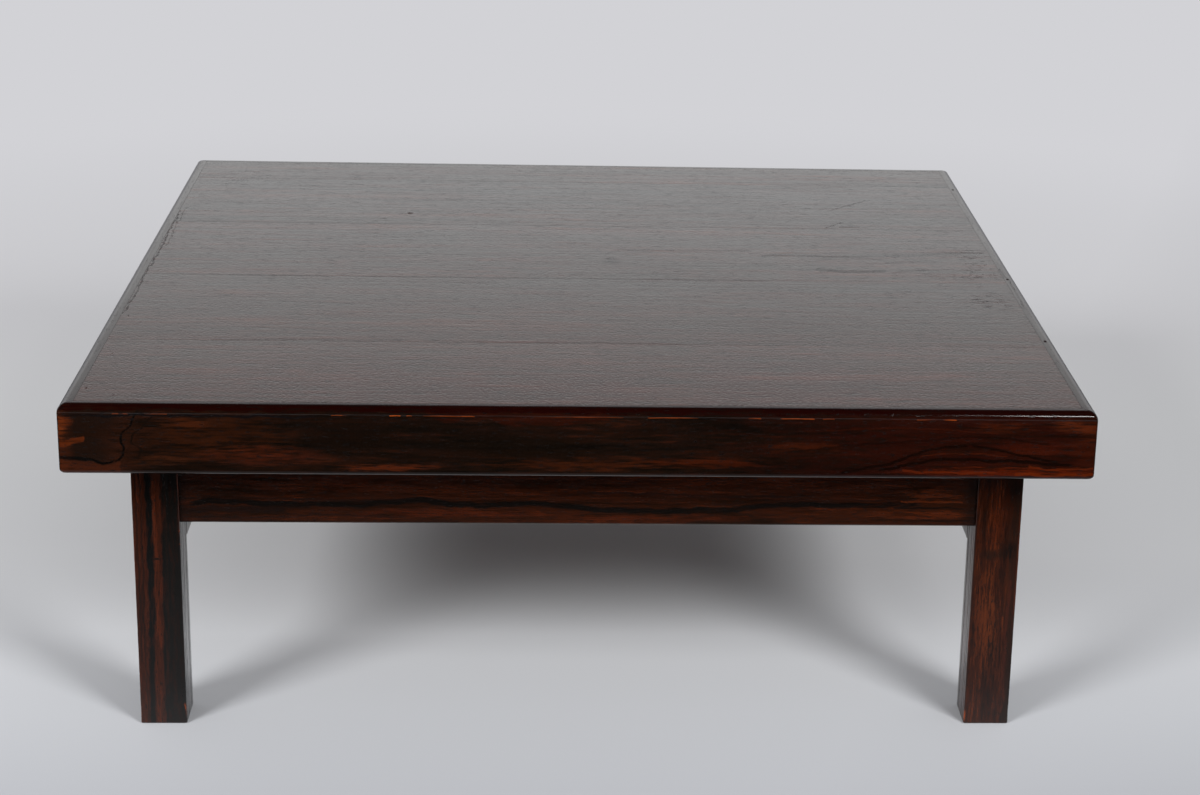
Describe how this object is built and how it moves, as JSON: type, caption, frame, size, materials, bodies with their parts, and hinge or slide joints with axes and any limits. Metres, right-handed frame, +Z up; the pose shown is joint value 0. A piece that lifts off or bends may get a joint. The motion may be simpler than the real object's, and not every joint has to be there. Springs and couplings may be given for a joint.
{
  "type": "kang table",
  "caption": "Low, nearly square table with a very thick planked top wrapped in mitred edge boards, on square legs with plain beams between them.",
  "frame": {"origin": "on the floor under the middle of the table", "axes": "+Z up, +Y from front to back, +X from left to right"},
  "size_m": [0.92, 0.95, 0.34],
  "materials": {
    "top_planks": "dark stained hardwood, polished lacquer",
    "edge_boards": "dark red-brown hardwood, polished lacquer",
    "legs": "dark red-brown striped hardwood, polished lacquer",
    "aprons": "dark red-brown striped hardwood, polished lacquer",
    "inner_frame": "planed and stained hardwood, without polish",
    "pegs": "turned hardwood, lacquered",
    "pins": "split bamboo"
  },
  "bodies": {
    "root": {"front_plank": "top_planks", "second_plank": "top_planks", "middle_plank": "top_planks", "fourth_plank": "top_planks", "back_plank": "top_planks", "front_edge_board": "edge_boards", "back_edge_board": "edge_boards", "left_edge_board": "edge_boards", "right_edge_board": "edge_boards", "front_left_leg": "legs", "front_right_leg": "legs", "back_left_leg": "legs", "back_right_leg": "legs", "front_apron": "aprons", "back_apron": "aprons", "left_apron": "aprons", "right_apron": "aprons", "front_rim_rail": "inner_frame", "back_rim_rail": "inner_frame", "left_rim_rail": "inner_frame", "right_rim_rail": "inner_frame", "left_batten": "inner_frame", "middle_batten": "inner_frame", "right_batten": "inner_frame", "front_left_corner_block": "inner_frame", "front_right_corner_block": "inner_frame", "back_left_corner_block": "inner_frame", "back_right_corner_block": "inner_frame", "apron_pegs": "pegs", "leg_wedges": "pegs", "rim_pegs": "pegs", "batten_pegs": "pegs", "corner_block_pins": "pins"}
  },
  "joints": []
}
